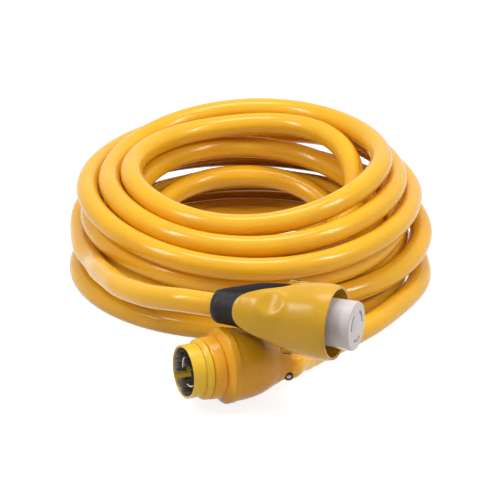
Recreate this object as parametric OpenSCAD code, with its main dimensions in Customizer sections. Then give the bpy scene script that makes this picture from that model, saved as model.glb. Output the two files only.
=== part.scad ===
// Shore power cord: a coiled, heavy power cord with a two-jaw cord connector
// on its upper end and a plug on its lower end.
// +Z is up and the coil, the plug's flange and the lower cord stand on z = 0.

/* [Cord] */
// Outside diameter of the cord
cord_d = 27; // [24:0.1:27.4]
// Clearance between the cord and a bore it runs into
cord_gap = 0.3; // [0.2:0.1:1.5]
// Diameter of one insulated conductor
wire_d = 6.4; // [4:0.1:7.4]

/* [Connector] */
// Length of the rubber grip, from the cord to the contact face's flange
grip_len = 104; // [102:0.5:110]
// Depth of the grip's bore that the cord fills
grip_bore_len = 30; // [20:1:34]
// Half width of the spine that carries the jaws' pins
spine_half_w = 9; // [7:0.5:11]
// Height of the spine's top over the connector's axis at the pins
spine_top = 35.7; // [34.5:0.1:36.5]
// Thickness of a jaw's wall
jaw_wall = 4; // [2.5:0.1:5]
// Gap between the closed jaws
jaw_gap = 1; // [0.6:0.1:3]
// Distance from the pins the jaws turn on to the contact face's flange
pivot_back = 6; // [5.5:0.5:8]
// Diameter of the jaws' pins
pin_d = 6; // [4:0.1:7]
// Running clearance of a jaw on its pin, on the radius
pin_gap = 0.05; // [0.02:0.01:0.1]
// Thickness of a jaw's lug
lug_t = 2.2; // [1.5:0.1:3]
// Radius of the contact face's body
face_r = 27.9; // [26:0.1:28]
// Length of the contact face's body in front of its flange
face_len = 66; // [60:0.5:72]

/* [Plug] */
// Outside radius of the plug's shroud
shroud_r = 30.5; // [30:0.1:31.5]
// Thickness of the shroud's wall
shroud_wall = 1.4; // [1.2:0.1:2.4]
// Distance from the flange's middle to the shroud's open end
shroud_end = 50.5; // [47:0.5:56]
// Radius of the plug's flange
flange_r = 43.5; // [43:0.05:43.5]
// Thickness of the metal shell inside the shroud
shell_t = 0.9; // [0.8:0.1:2]
// Length of a contact blade in front of its plate
blade_len = 26; // [18:0.5:30]
// Depth of the boot's bore that the cord fills
boot_bore_len = 18; // [12:1:20]
// Radius of the power light's lens
light_r = 3; // [2:0.1:4]

/* [Hidden] */
$fn = 72;
eps = 0.01;
// The box round everything is centred on the origin
centre_shift = [-0.63, 83.9, 0];

YELLOW = "#F2B81E";
MUSTARD = "#DDAF24";
LEMON = "#E8C020";
CHARCOAL = "#3A3638";
WHITE = "#DCD6D2";
METAL = "#6A6058";
BRASS = "#C99A3C";
STEEL = "#B8B8B4";

// ---- The coil ----
// Twelve turns in four layers of three.  The lowest layer winds inwards, the
// next outwards, and so on.  Each layer lies between an inner and an outer
// rail: radius and height at the coil's right, back, left and front.
LAYERS = 4;
LAYER_TURNS = 3;
RINGS_A_TURN = 24;
COIL_SIDES = 6;
TAIL_SIDES = 10;
floor_z = 0.4 * cord_d;
RAILS = [
    [[125, 130, 139, 127], [floor_z, floor_z, floor_z, floor_z],
     [208, 214, 223, 211], [floor_z, floor_z, floor_z, floor_z]],
    [[120, 136, 108, 100], [39, 74, 56, 48], [213, 225, 192, 185], [41, 30, 44, 38]],
    [[123, 134, 126, 126], [84, 118, 101, 92], [207.6, 227, 208, 206], [66, 63, 73, 59]],
    [[142, 140, 131, 124], [174, 132, 139, 136], [196, 239, 212, 207], [95, 83, 106, 88]]
];
// The turn at which each climb to the next layer is half done, and its length
CLIMB_AT = [3.03, 6, 9.08];
CLIMB_LEN = 0.36;
// The top layer's middle turn rises at the back
CROWN_H = 36;

function smooth(x) = let (c = min(max(x, 0), 1)) c * c * (3 - 2 * c);
function around(v, a) =
    (v[0] + v[1] + v[2] + v[3]) / 4
    + (v[0] - v[2]) / 2 * cos(a)
    + (v[1] - v[3]) / 2 * sin(a)
    + (v[0] - v[1] + v[2] - v[3]) / 4 * cos(2 * a);
function sum(v, i = 0) = i < len(v) ? v[i] + sum(v, i + 1) : 0;
function layer_at(t) = sum([for (c = CLIMB_AT) smooth((t - c) / CLIMB_LEN + 0.5)]);
function outward(t) =
    let (p = t - 2 * LAYER_TURNS * floor(t / (2 * LAYER_TURNS)))
    p <= LAYER_TURNS ? 1 - p / LAYER_TURNS : p / LAYER_TURNS - 1;
function coil_point(t) =
    let (
        a = 360 * t,
        s = outward(t),
        v = layer_at(t),
        lo = min(floor(v), LAYERS - 2),
        w = v - lo,
        q = [for (k = [0:3]) (1 - w) * around(RAILS[lo][k], a) + w * around(RAILS[lo + 1][k], a)],
        crown = CROWN_H * pow(max(sin(a), 0), 2) * 4 * s * (1 - s) * max(0, v - LAYERS + 2),
        r = q[0] + s * (q[2] - q[0]),
        z = q[1] + s * (q[3] - q[1]) + crown
    )
    [r * cos(a), r * sin(a), z];

turns = LAYERS * LAYER_TURNS;
step = 0.001;
function unit(v) = v / norm(v);
coil_start = coil_point(0);
coil_start_dir = unit(coil_point(0) - coil_point(step));
coil_end = coil_point(turns);
coil_end_dir = unit(coil_point(turns) - coil_point(turns - step));
coil_foot = coil_start + cord_d * coil_start_dir;
coil_head = coil_end + cord_d * coil_end_dir;
coil_path = concat(
    [coil_foot],
    [for (i = [0:turns * RINGS_A_TURN]) coil_point(i / RINGS_A_TURN)],
    [coil_head]);

// ---- Tubes ----
function tangent(p, i) = unit(p[min(i + 1, len(p) - 1)] - p[max(i - 1, 0)]);
// Points below the lowest height lie flat on it
function ring(p, i, r, sides, t, lowest) =
    let (side = unit(cross(t, [0, 0, 1])), up = cross(side, t))
    [for (k = [0:sides - 1])
        let (q = p[i] + r * (cos(360 * k / sides) * side + sin(360 * k / sides) * up))
        [q[0], q[1], max(q[2], lowest)]];
function tube_points(p, r, sides, first, last, lowest) = [
    for (i = [0:len(p) - 1])
        each ring(p, i, r, sides, i == 0 ? first : i == len(p) - 1 ? last : tangent(p, i), lowest)];
function tube_faces(n, sides) = concat(
    [for (i = [0:n - 2]) for (k = [0:sides - 1])
        [i * sides + k, i * sides + (k + 1) % sides, (i + 1) * sides + k]],
    [for (i = [0:n - 2]) for (k = [0:sides - 1])
        [i * sides + (k + 1) % sides, (i + 1) * sides + (k + 1) % sides, (i + 1) * sides + k]],
    [for (k = [1:sides - 2]) [0, k + 1, k]],
    [for (k = [1:sides - 2]) [(n - 1) * sides, (n - 1) * sides + k, (n - 1) * sides + k + 1]]);
module tube(p, r, sides, first, last, lowest = 0) {
    polyhedron(tube_points(p, r, sides, first, last, lowest), tube_faces(len(p), sides));
}
function to_segment(q, a, b) =
    let (d = b - a, u = min(max((q - a) * d / (d * d), 0), 1))
    norm(q - a - u * d);
function least_gap(p, skip) =
    min([for (i = [0:len(p) - 1 - skip]) for (j = [i + skip:len(p) - 2])
        to_segment(p[i], p[j], p[j + 1])]) - cord_d;

// ---- Where the ends lie ----
function polar(a, r, z) = [r * cos(a), r * sin(a), z];
// The connector: its local +X runs from the cord to the contact face
connector_at = [-44, -335, 108];
connector_turn = [-23, -1, -22];
// The plug: its local +X points out of the shroud
plug_at = [-29, -359, 43.65];
plug_turn = [0, -2, 205];
// The rear of the plug's body droops towards the floor
body_turn = [0, -8.4, 0];
flange_back = -4.6;
body_len = 79;
body_end_r = 17.5;

function turn_x(v, a) = [v[0], v[1] * cos(a) - v[2] * sin(a), v[1] * sin(a) + v[2] * cos(a)];
function turn_y(v, a) = [v[0] * cos(a) + v[2] * sin(a), v[1], -v[0] * sin(a) + v[2] * cos(a)];
function turn_z(v, a) = [v[0] * cos(a) - v[1] * sin(a), v[0] * sin(a) + v[1] * cos(a), v[2]];
function turned(v, a) = turn_z(turn_y(turn_x(v, a[0]), a[1]), a[2]);
function on_connector(v) = connector_at + turned(v, connector_turn);
function on_plug(v) = plug_at + turned(v, plug_turn);
function on_body(v) = on_plug([flange_back, 0, 0] + turned(v, body_turn));

connector_dir = turned([1, 0, 0], connector_turn);
boot_start = on_body([-body_len, 0, 0]);
boot_knee = [51, -313, 29];
boot_end = [63, -292, 22.5];
boot_dir = unit(boot_end - boot_knee);
boot_knee_r = 17;
boot_end_r = 15.6;

// The free stretch from the coil's top to the connector
FEMALE_ROUTE = [
    polar(22, 207, 95), polar(38, 216, 97), polar(54, 231, 97), polar(72, 245, 93),
    polar(90, 249, 86), polar(108, 248, 79), polar(126, 245, 70), polar(144, 232, 61),
    polar(160, 221, 53), polar(175, 209, 47), polar(190, 205, 48), polar(205, 207, 52),
    [-178, -144, 66], [-164, -195, 78], [-151, -234, 86], [-132, -267, 93],
    [-114, -290, 98], [-96, -307, 103], [-79, -320, 107]
];
female_path = concat(
    [coil_head],
    FEMALE_ROUTE,
    [on_connector([-cord_d / 2, 0, 0]), on_connector([grip_bore_len, 0, 0])]);
// The free stretch from the coil's foot to the plug's boot
MALE_ROUTE = [
    [203, -60, 10.8], [189, -96, 10.8], [169, -135, 10.8], [146, -173, 10.8],
    [123, -203, 10.8], [103, -227, 11.4], [86, -250, 14]
];
male_path = concat(
    [coil_foot],
    MALE_ROUTE,
    [boot_end + 20 * boot_dir, boot_end - boot_bore_len * boot_dir]);

module placed() {
    translate(centre_shift) children();
}
module at_connector() {
    placed() translate(connector_at) rotate(connector_turn) children();
}
module at_plug() {
    placed() translate(plug_at) rotate(plug_turn) children();
}
module at_body() {
    at_plug() translate([flange_back, 0, 0]) rotate(body_turn) children();
}
// A solid of revolution about the local X axis, from [x, radius] points
module lathe(profile) {
    rotate([0, 90, 0]) rotate_extrude() polygon([for (p = profile) [p[1], p[0]]]);
}
module solid_lathe(outer) {
    lathe(concat([[outer[0][0], 0]], outer, [[outer[len(outer) - 1][0], 0]]));
}
module rod(x1, x2, r) {
    translate([x1, 0, 0]) rotate([0, 90, 0]) cylinder(h = x2 - x1, r = r);
}
module pipe(x1, x2, r_in, r_out) {
    lathe([[x1, r_in], [x1, r_out], [x2, r_out], [x2, r_in]]);
}
// A piece of a ring about the local X axis, over an angle from +Y towards +Z
module arc_strip(x1, x2, r, t, from, to) {
    translate([x1, 0, 0]) rotate([90, 0, 90]) rotate(from)
        intersection() {
            linear_extrude(x2 - x1) difference() {
                circle(r + t / 2);
                circle(r - t / 2);
            }
            linear_extrude(x2 - x1) polygon(concat([[0, 0]],
                [for (k = [0:4]) polar2(2 * r, (to - from) * k / 4)]));
        }
}
function polar2(r, a) = [r * cos(a), r * sin(a)];
// Where the connector's and the plug's four wires and screws stand
WIRE_ANGLES = [45, 135, 225, 315];
SLOT_ANGLES = [20, 140, 260];
slot_span = 62;
wire_ring_r = cord_d / 2 - wire_d / 2 - 2.2;
fit = 0.1;
pressed = 0.02;
terminal_r = 1.7;
terminal_len = 7;
terminal_head_r = 3.2;
terminal_head_t = 2.4;
carrier_screw_ring_r = 18;
block_screw_ring_r = 19;

// ---- Cord ----
module cord_coil() {
    echo(least_gap = least_gap(coil_path, RINGS_A_TURN / 3));
    color(YELLOW) placed() tube(coil_path, cord_d / 2, COIL_SIDES, -coil_start_dir, coil_end_dir);
}
module cord_tail_female() {
    color(YELLOW) placed() tube(female_path, cord_d / 2, TAIL_SIDES, coil_end_dir, connector_dir);
}
module cord_tail_male() {
    color(YELLOW) placed() tube(male_path, cord_d / 2, TAIL_SIDES, coil_start_dir, -boot_dir);
}

// ---- Connector ----
pivot_x = grip_len - pivot_back;
// Each outline below goes by shares of the grip's length, so it grows with it
function along(p) = [for (q = p) [q[0] * grip_len, q[1]]];
GRIP = along([
    [0, 15], [0.0096, 16.6], [0.0288, 18], [0.1923, 20], [0.2885, 20.5],
    [0.3846, 22], [0.4808, 24.2], [0.5769, 26.6], [0.7692, 30], [0.8654, 32.4],
    [0.9231, 33]
]);
// The spine's top: how far along, and height over the axis
SPINE = along([
    [0.0577, 17.5], [0.1923, 21.8], [0.3269, 25.7], [0.4615, 29.8], [0.5865, 33],
    [0.7308, 34.6], [0.8462, spine_top]
]);
// The lower spine is only a pad under the pins
PAD = along([
    [0.6346, 22], [0.75, 28.5], [0.8269, 31.4], [0.8942, spine_top]
]);
JAW = along([
    [0.375, 35.4], [0.3942, 36.4], [0.4808, 37.6], [0.5769, 38.5], [0.7692, 40],
    [0.9423, 41], [1.0769, 42.4], [1.2019, 43], [1.3462, 43], [1.4231, 42.4],
    [1.4615, 41.4]
]);
// A jaw's side outline: how far along, and half height
JAW_SIDE = along([
    [0.3798, 3], [0.3875, 7], [0.4038, 11.3], [0.4423, 16], [0.4971, 19.8],
    [0.5769, 23.5], [0.6587, 26.5], [0.7692, 29.5], [0.8654, 32.5], [0.9279, 35],
    [0.9904, 39.5], [1.0288, 46], [1.5385, 46]
]);
face_flange_r = 33;
carrier_r = 24;
carrier_len = 32;
carrier_back = grip_len - carrier_len;
// The hollow for the wires widens from the cord to the carrier
HOLLOW = [[grip_bore_len - eps, cord_d / 2 + cord_gap], [grip_bore_len + 12, 17],
          [carrier_back - 10, 23], [carrier_back - eps, carrier_r]];
seat_gap = 0.3;
lug_r = 7.5;
knuckle_gap = 0.6;
near_lug_z = spine_top + seat_gap;
far_lug_z = near_lug_z + lug_t + seat_gap;
pin_head_z = far_lug_z + lug_t + seat_gap;
pin_foot_z = carrier_r + 0.6;
spring_wire_d = 0.8;
spring_r = pin_d / 2 + 0.5 + spring_wire_d / 2;
spring_z = face_flange_r + 0.2;
spring_leg = 9;
spring_turns = 2;
spring_steps = 12;
// Two turns round the pin, with a straight leg along the spine
spring_path = concat(
    [[-spring_leg, spring_r, 0]],
    [for (i = [0:spring_turns * spring_steps])
        let (a = 90 - 360 * i / spring_steps)
        [spring_r * cos(a), spring_r * sin(a), 0.95 * i / spring_steps]]);
flange_t = 5;
face_end = grip_len + flange_t + face_len;
face_screw_r = 1.3;
face_screw_len = 7;
face_screw_head_t = 1.4;
face_screw_ring_r = 31;
face_screw_head_r = 1.9;
face_screw_angles = [90, 210, 330];
slot_r = 17;
slot_w = 3.2;
contact_t = 1.8;
contact_root = 8;
contact_setback = 5;
// The groove along the contact face's underside, with the ground contact in it
groove_back = grip_len + flange_t + 4;
groove_front = face_end - 6;
groove_depth = 1.5;
groove_from = 248;
groove_to = 292;
ground_contact_t = 1;
// The thumb dish on a jaw, and the eye and bridge of its two lugs
dish_x = 0.798 * grip_len;
dish_turn = -20;
dish_r = 30;
dish_depth = 2.6;
jaw_r_at_dish = 40.1;
LUG_BRIDGE = [[-7, -2], [-4, -13], [10, -13], [10, -4], [7, -2]];
pin_head_t = 1.4;
pin_head_r = pin_d / 2 + 2;
clamp_x = 10;
clamp_len = 13;
clamp_r = cord_d / 2 + cord_gap + 3;
clamp_slit = 2;

module both_sides() {
    children();
    mirror([0, 0, 1]) children();
}
module round_the_face() {
    for (a = face_screw_angles)
        rotate([a, 0, 0]) translate([0, 0, face_screw_ring_r]) children();
}
module spine(top) {
    rotate([90, 0, 0]) translate([0, 0, -spine_half_w]) linear_extrude(2 * spine_half_w)
        polygon(concat([[top[0][0], 0]], top, [[pivot_x + 2, spine_top], [pivot_x + 2, 0]]));
}
// The screws that hold the four wires, and their holes
module terminals(x, ring_r) {
    for (a = WIRE_ANGLES)
        rotate([a, 0, 0]) translate([0, 0, ring_r]) {
            rod(x - terminal_head_t, x, terminal_head_r);
            rod(x - eps, x + terminal_len, terminal_r);
        }
}
module terminal_holes(x, ring_r) {
    for (a = WIRE_ANGLES)
        rotate([a, 0, 0]) translate([0, 0, ring_r]) rod(x - 1, x + terminal_len + 1, terminal_r + pressed);
}
module rubber_grip() {
    color(CHARCOAL) at_connector() difference() {
        union() {
            solid_lathe(concat(GRIP, [[grip_len, face_flange_r]]));
            spine(SPINE);
            mirror([0, 0, 1]) spine(PAD);
        }
        rod(-1, grip_bore_len, cord_d / 2 + cord_gap);
        rod(clamp_x, clamp_x + clamp_len, clamp_r);
        solid_lathe(concat(HOLLOW, [[grip_len + 1, carrier_r]]));
        both_sides() {
            translate([pivot_x, 0, 0]) cylinder(h = 60, r = pin_d / 2 + pressed);
            translate([pivot_x, 0, spring_z - fit])
                cylinder(h = 10, r = spring_r + spring_wire_d / 2 + 4 * fit);
            translate([pivot_x - spring_leg - 2, spring_r - 1, spring_z - fit])
                cube([spring_leg + 2, 2, 10]);
        }
        round_the_face() rod(grip_len - face_screw_len - 1, grip_len + 1, face_screw_r + pressed);
    }
}
module jaw(lug_z) {
    difference() {
        union() {
            difference() {
                intersection() {
                    lathe(concat(JAW, [for (i = [len(JAW) - 1:-1:0]) JAW[i] - [0, jaw_wall]]));
                    translate([0, -jaw_gap / 2, 0]) rotate([90, 0, 0]) linear_extrude(60)
                        polygon(concat(JAW_SIDE,
                            [for (i = [len(JAW_SIDE) - 1:-1:0]) [JAW_SIDE[i][0], -JAW_SIDE[i][1]]]));
                }
                // Room for the other jaw's lugs
                both_sides() translate([pivot_x, 0, spine_top])
                    cylinder(h = 20, r = lug_r + knuckle_gap);
            }
            both_sides() translate([0, 0, lug_z]) linear_extrude(lug_t) {
                translate([pivot_x, 0]) circle(lug_r);
                translate([pivot_x, 0]) polygon(LUG_BRIDGE);
            }
        }
        both_sides() translate([pivot_x, 0, 20]) cylinder(h = 40, r = pin_d / 2 + pin_gap);
        rotate([dish_turn, 0, 0]) translate([dish_x, dish_depth - jaw_r_at_dish - dish_r, 0]) sphere(dish_r);
    }
}
module near_jaw() {
    color(MUSTARD) at_connector() jaw(near_lug_z);
}
module far_jaw() {
    color(MUSTARD) at_connector() mirror([0, 1, 0]) jaw(far_lug_z);
}
module pivot_pins() {
    color(STEEL) at_connector() both_sides() translate([pivot_x, 0, 0]) {
        translate([0, 0, pin_foot_z]) cylinder(h = pin_head_z - pin_foot_z + eps, r = pin_d / 2);
        translate([0, 0, pin_head_z]) cylinder(h = pin_head_t, r = pin_head_r);
    }
}
module jaw_springs() {
    color(STEEL) at_connector() both_sides() translate([pivot_x, 0, spring_z + spring_wire_d / 2])
        tube(spring_path, spring_wire_d / 2, COIL_SIDES,
             [1, 0, 0], tangent(spring_path, len(spring_path) - 1), -spring_wire_d);
}
module cord_clamp() {
    color(STEEL) at_connector() difference() {
        pipe(clamp_x + fit, clamp_x + clamp_len - fit, cord_d / 2 + cord_gap, clamp_r - fit);
        translate([0, -clamp_slit / 2, 0]) cube([60, clamp_slit, 2 * clamp_r]);
    }
}
module insulator_face() {
    color(WHITE) at_connector() difference() {
        union() {
            rod(grip_len, grip_len + flange_t, face_flange_r);
            solid_lathe([[grip_len + 1, face_r], [face_end - 2, face_r],
                         [face_end - 0.6, face_r - 0.6], [face_end, face_r - 2]]);
        }
        for (a = SLOT_ANGLES)
            arc_strip(grip_len - 1, face_end + 1, slot_r, slot_w, a, a + slot_span);
        arc_strip(groove_back, groove_front, face_r, 2 * groove_depth, groove_from, groove_to);
        round_the_face() rod(grip_len - 1, grip_len + flange_t + 1, face_screw_r + pressed);
    }
}
module face_gasket() {
    color(CHARCOAL) at_connector()
        pipe(grip_len, grip_len + flange_t - 1, face_flange_r, face_flange_r + 2);
}
module contact_carrier() {
    color("#8C8480") at_connector() difference() {
        rod(carrier_back, grip_len, carrier_r - fit);
        for (a = SLOT_ANGLES)
            arc_strip(grip_len - contact_root, grip_len + 1, slot_r, contact_t + 2 * fit,
                      a + 2, a + slot_span - 2);
        terminal_holes(carrier_back, carrier_screw_ring_r);
    }
}
module line_contacts() {
    color(BRASS) at_connector()
        for (a = SLOT_ANGLES)
            arc_strip(grip_len - contact_root, face_end - contact_setback, slot_r, contact_t,
                      a + 2.5, a + slot_span - 2.5);
}
module ground_contact() {
    color(BRASS) at_connector()
        arc_strip(groove_back + 3 * fit, groove_front - 3 * fit,
                  face_r - groove_depth + ground_contact_t / 2 + fit / 2, ground_contact_t,
                  groove_from + 1.5, groove_to - 1.5);
}
module terminal_screws() {
    color(STEEL) at_connector() terminals(carrier_back, carrier_screw_ring_r);
}
module face_screws() {
    color(STEEL) at_connector() round_the_face() {
        rod(grip_len - face_screw_len, grip_len + flange_t + eps, face_screw_r);
        rod(grip_len + flange_t, grip_len + flange_t + face_screw_head_t, face_screw_head_r);
    }
}
module wire(angle) {
    rotate([angle, 0, 0]) translate([0, 0, wire_ring_r])
        rod(grip_bore_len, carrier_back, wire_d / 2);
}
module wire_black() {
    color("#222222") at_connector() wire(WIRE_ANGLES[0]);
}
module wire_red() {
    color("#B02A20") at_connector() wire(WIRE_ANGLES[1]);
}
module wire_white() {
    color("#E8E8E8") at_connector() wire(WIRE_ANGLES[2]);
}
module wire_green() {
    color("#2E7D3A") at_connector() wire(WIRE_ANGLES[3]);
}

// ---- Plug ----
// The body behind the flange: distance forward from the flange's back, radius
BODY = [
    [-body_len, body_end_r], [-66, 20.7], [-54, 24.9], [-49, 28.4], [-42, 32.2], [-29, 37.2],
    [-16, 40.2], [-7, 41.6], [8, 42]
];
flange_front = 4.7;
cone_front = 11;
ring_t = 3.7;
neck_r = shroud_r + 0.4 + ring_t;
shell_r = shroud_r - shroud_wall - fit;
cavity_r = shroud_r - 4.5;
cavity_back = -34;
plate_front = 18;
block_back = -8;
ring_gap = 0.8;
ring_seat_r = shroud_r + 0.4;
rear_ring_front = 26;
front_ring_front = 34;
blade_ring_r = 17.5;
blade_t = 1.6;
light_on_body = [6 - body_len, 0, 0];
light_dir = unit([0.17, -0.945, -0.27]);
light_depth = 17.6;
light_t = 3;
bezel_w = 1.8;
// The slot for the twist lock in the metal shell: across, then along
LOCK_SLOT = [187, 205, 219];
lock_slot_len = 20;
lock_slot_w = 4;
blade_span = 50;

module half_space_ahead(x) {
    translate([x, -100, -100]) cube([100, 200, 200]);
}
module at_light() {
    placed() translate(on_body(light_on_body) + light_depth * light_dir)
        rotate([0, acos(light_dir[2]), atan2(light_dir[1], light_dir[0])]) children();
}
module plug_body() {
    color(YELLOW) difference() {
        union() {
            at_plug() lathe([[flange_back, 0], [flange_back, flange_r],
                             [flange_front - 0.8, flange_r], [flange_front, flange_r - 0.8],
                             [cone_front, neck_r], [cone_front, 0]]);
            difference() {
                at_body() solid_lathe(BODY);
                at_plug() half_space_ahead(0);
            }
        }
        at_plug() rod(cavity_back, cone_front + 1, cavity_r);
        at_light() cylinder(h = 20, r = light_r + bezel_w + pressed);
    }
}
// A straight, tapering piece between two points
module taper(a, b, r1, r2) {
    d = b - a;
    translate(a) rotate([0, acos(d[2] / norm(d)), atan2(d[1], d[0])])
        cylinder(h = norm(d), r1 = r1, r2 = r2);
}
module plug_boot() {
    color(YELLOW) difference() {
        placed() union() {
            translate(boot_start) sphere(body_end_r - fit);
            taper(boot_start, boot_knee, body_end_r - 2 * fit, boot_knee_r - 2 * fit);
            translate(boot_knee) sphere(boot_knee_r);
            taper(boot_knee, boot_end, boot_knee_r - fit, boot_end_r);
        }
        at_body() half_space_ahead(-body_len);
        placed() taper(boot_end - boot_bore_len * boot_dir, boot_end + boot_dir, cord_d / 2 + cord_gap,
                       cord_d / 2 + cord_gap);
    }
}
module plug_shroud() {
    color(LEMON) at_plug() lathe([
        [cone_front, shroud_r - shroud_wall], [cone_front, ring_seat_r],
        [front_ring_front, ring_seat_r], [front_ring_front, shroud_r], [shroud_end - 0.6, shroud_r],
        [shroud_end, shroud_r - 0.6], [shroud_end, shroud_r - shroud_wall]]);
}
module rear_ring() {
    color(YELLOW) at_plug() lathe([
        [cone_front, ring_seat_r], [cone_front, neck_r + 0.6], [cone_front + 1, neck_r + 1.4],
        [rear_ring_front - 1.4, neck_r + 0.6], [rear_ring_front, neck_r - 0.6],
        [rear_ring_front, ring_seat_r]]);
}
module front_ring() {
    x = rear_ring_front + ring_gap;
    color(LEMON) at_plug() lathe([
        [x, ring_seat_r], [x, neck_r - 0.2], [x + 1, neck_r + 0.6],
        [front_ring_front - 3, neck_r], [front_ring_front, neck_r - 2.4],
        [front_ring_front, ring_seat_r]]);
}
module ground_shell() {
    r = shell_r - shell_t / 2;
    slot_back = shroud_end - lock_slot_len;
    color(METAL) at_plug() difference() {
        pipe(plate_front, shroud_end - 1, shell_r - shell_t, shell_r);
        arc_strip(slot_back, shroud_end, r, 6, LOCK_SLOT[1], LOCK_SLOT[2]);
        arc_strip(slot_back, slot_back + lock_slot_w, r, 6, LOCK_SLOT[0], LOCK_SLOT[1] + 1);
    }
}
module contact_plate() {
    color("#403C3C") at_plug() difference() {
        rod(cone_front, plate_front, shell_r);
        for (a = SLOT_ANGLES)
            arc_strip(cone_front - 1, plate_front + 1, blade_ring_r, blade_t + 2 * fit, a, a + blade_span);
    }
}
module contact_blades() {
    color(BRASS) at_plug()
        for (a = SLOT_ANGLES)
            arc_strip(cone_front, plate_front + blade_len, blade_ring_r, blade_t,
                      a + 0.5, a + blade_span - 0.5);
}
module wire_block() {
    color("#8C8480") at_plug() difference() {
        rod(block_back, cone_front, cavity_r - fit);
        terminal_holes(block_back, block_screw_ring_r);
    }
}
module block_screws() {
    color(STEEL) at_plug() terminals(block_back, block_screw_ring_r);
}
module plug_wire(angle) {
    rotate([angle, 0, 0]) translate([0, 0, wire_ring_r]) rod(cavity_back, block_back, wire_d / 2);
}
module plug_wire_black() {
    color("#222222") at_plug() plug_wire(WIRE_ANGLES[0]);
}
module plug_wire_red() {
    color("#B02A20") at_plug() plug_wire(WIRE_ANGLES[1]);
}
module plug_wire_white() {
    color("#E8E8E8") at_plug() plug_wire(WIRE_ANGLES[2]);
}
module plug_wire_green() {
    color("#2E7D3A") at_plug() plug_wire(WIRE_ANGLES[3]);
}
module light_lens() {
    color("#E8E0D0") at_light() cylinder(h = light_t, r = light_r);
}
module light_bezel() {
    color("#3A2418") at_light() difference() {
        cylinder(h = light_t + 0.2, r = light_r + bezel_w);
        translate([0, 0, -1]) cylinder(h = 2 * light_t, r = light_r + pressed);
    }
}

cord_coil();
cord_tail_female();
cord_tail_male();
rubber_grip();
near_jaw();
far_jaw();
pivot_pins();
jaw_springs();
cord_clamp();
insulator_face();
face_gasket();
contact_carrier();
line_contacts();
ground_contact();
terminal_screws();
face_screws();
wire_black();
wire_red();
wire_white();
wire_green();
plug_body();
plug_boot();
plug_shroud();
rear_ring();
front_ring();
ground_shell();
contact_plate();
contact_blades();
wire_block();
block_screws();
plug_wire_black();
plug_wire_red();
plug_wire_white();
plug_wire_green();
light_lens();
light_bezel();
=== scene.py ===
"""Looks of a shore power cord: a coiled cord, its cord connector and its plug.

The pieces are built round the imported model, in its frame and in metres.
"""

import math

import bmesh
import bpy
import numpy as np
from bpy.props import FloatProperty, FloatVectorProperty, IntProperty, PointerProperty
from mathutils import Euler, Matrix, Vector


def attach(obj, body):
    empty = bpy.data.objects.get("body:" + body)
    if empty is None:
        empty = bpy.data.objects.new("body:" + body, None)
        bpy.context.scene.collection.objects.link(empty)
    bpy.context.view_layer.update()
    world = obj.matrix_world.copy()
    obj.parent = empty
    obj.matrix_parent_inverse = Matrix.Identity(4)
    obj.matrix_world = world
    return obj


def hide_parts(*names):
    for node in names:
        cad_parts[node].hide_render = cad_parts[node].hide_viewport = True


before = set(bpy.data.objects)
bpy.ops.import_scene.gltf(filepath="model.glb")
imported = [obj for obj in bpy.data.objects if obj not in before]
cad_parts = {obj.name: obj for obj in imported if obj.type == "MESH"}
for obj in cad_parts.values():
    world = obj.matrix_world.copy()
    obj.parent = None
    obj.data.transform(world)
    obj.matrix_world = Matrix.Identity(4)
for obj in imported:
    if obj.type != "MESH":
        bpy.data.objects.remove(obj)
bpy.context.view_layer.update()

bl_info = {
    "name": "Shore power cord",
    "version": (1, 0, 0),
    "blender": (4, 5, 0),
    "location": "3D View > Sidebar > Cord",
    "description": "Builds a coiled shore power cord with its connector and plug",
    "category": "Object",
}

MM = 0.001
ROOT = "cordset"

# ---------------------------------------------------------------- places
SHIFT = Vector((-0.63, 83.9, 0))


def placed(at, turn):
    """The matrix from a part's own millimetres to the row frame's metres."""
    rotation = Euler([math.radians(a) for a in turn]).to_matrix().to_4x4()
    return Matrix.Scale(MM, 4) @ Matrix.Translation(SHIFT + Vector(at)) @ rotation


def facing(at, way):
    """The matrix that stands a part's X axis at a point in millimetres, along a direction."""
    return Matrix.Scale(MM, 4) @ Matrix.Translation(at) @ way.to_track_quat("X", "Z").to_matrix().to_4x4()


CONNECTOR = placed((-44, -335, 108), (-23, -1, -22))
PLUG = placed((-29, -359, 43.65), (0, -2, 205))
DROOP = Matrix.Rotation(math.radians(-8.4), 4, "Y")
PLUG_BODY = PLUG @ Matrix.Translation((-4.6, 0, 0)) @ DROOP
ALONG_Z = Matrix.Rotation(math.radians(-90), 4, "Y")
BODY_LEN = 79
SLANT_AT, SLANT = (-56, 0, -18), -42
BOOT_KNEE = Vector((51, -313, 29)) + SHIFT
BOOT_END = Vector((63, -292, 22.5)) + SHIFT
BOOT_DIR = (BOOT_END - BOOT_KNEE).normalized()
LIGHT_DIR = Vector((0.17, -0.945, -0.27)).normalized()
LIGHT_AT, LIGHT_OUT = Vector((-73, 0, 0)), 20.6
PIVOT_X = 98

# ---------------------------------------------------------------- the cord's route
# Each layer's inner and outer rail: radius and height at right, back, left, front
RAILS = [
    [[125, 130, 139, 127], [10.8] * 4, [208, 214, 223, 211], [10.8] * 4],
    [[120, 136, 108, 100], [39, 74, 56, 48], [213, 225, 192, 185], [41, 30, 44, 38]],
    [[123, 134, 126, 126], [84, 118, 101, 92], [207.6, 227, 208, 206], [66, 63, 73, 59]],
    [[142, 140, 131, 124], [174, 132, 139, 136], [196, 239, 212, 207], [95, 83, 106, 88]],
]
LAYER_TURNS = 3
CLIMB_AT = [3.03, 6, 9.08]
CLIMB_LEN = 0.36
CROWN_H = 36
POINTS_A_TURN = 48
ROUTE_STEP = 12
# Straight ends of the cord: by the coil, into and out of the boot, out of and into the grip
COIL_LEAD = 27
BOOT_IN, BOOT_OUT = 18, 20
GRIP_OUT, GRIP_IN = -13.5, 30
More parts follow.
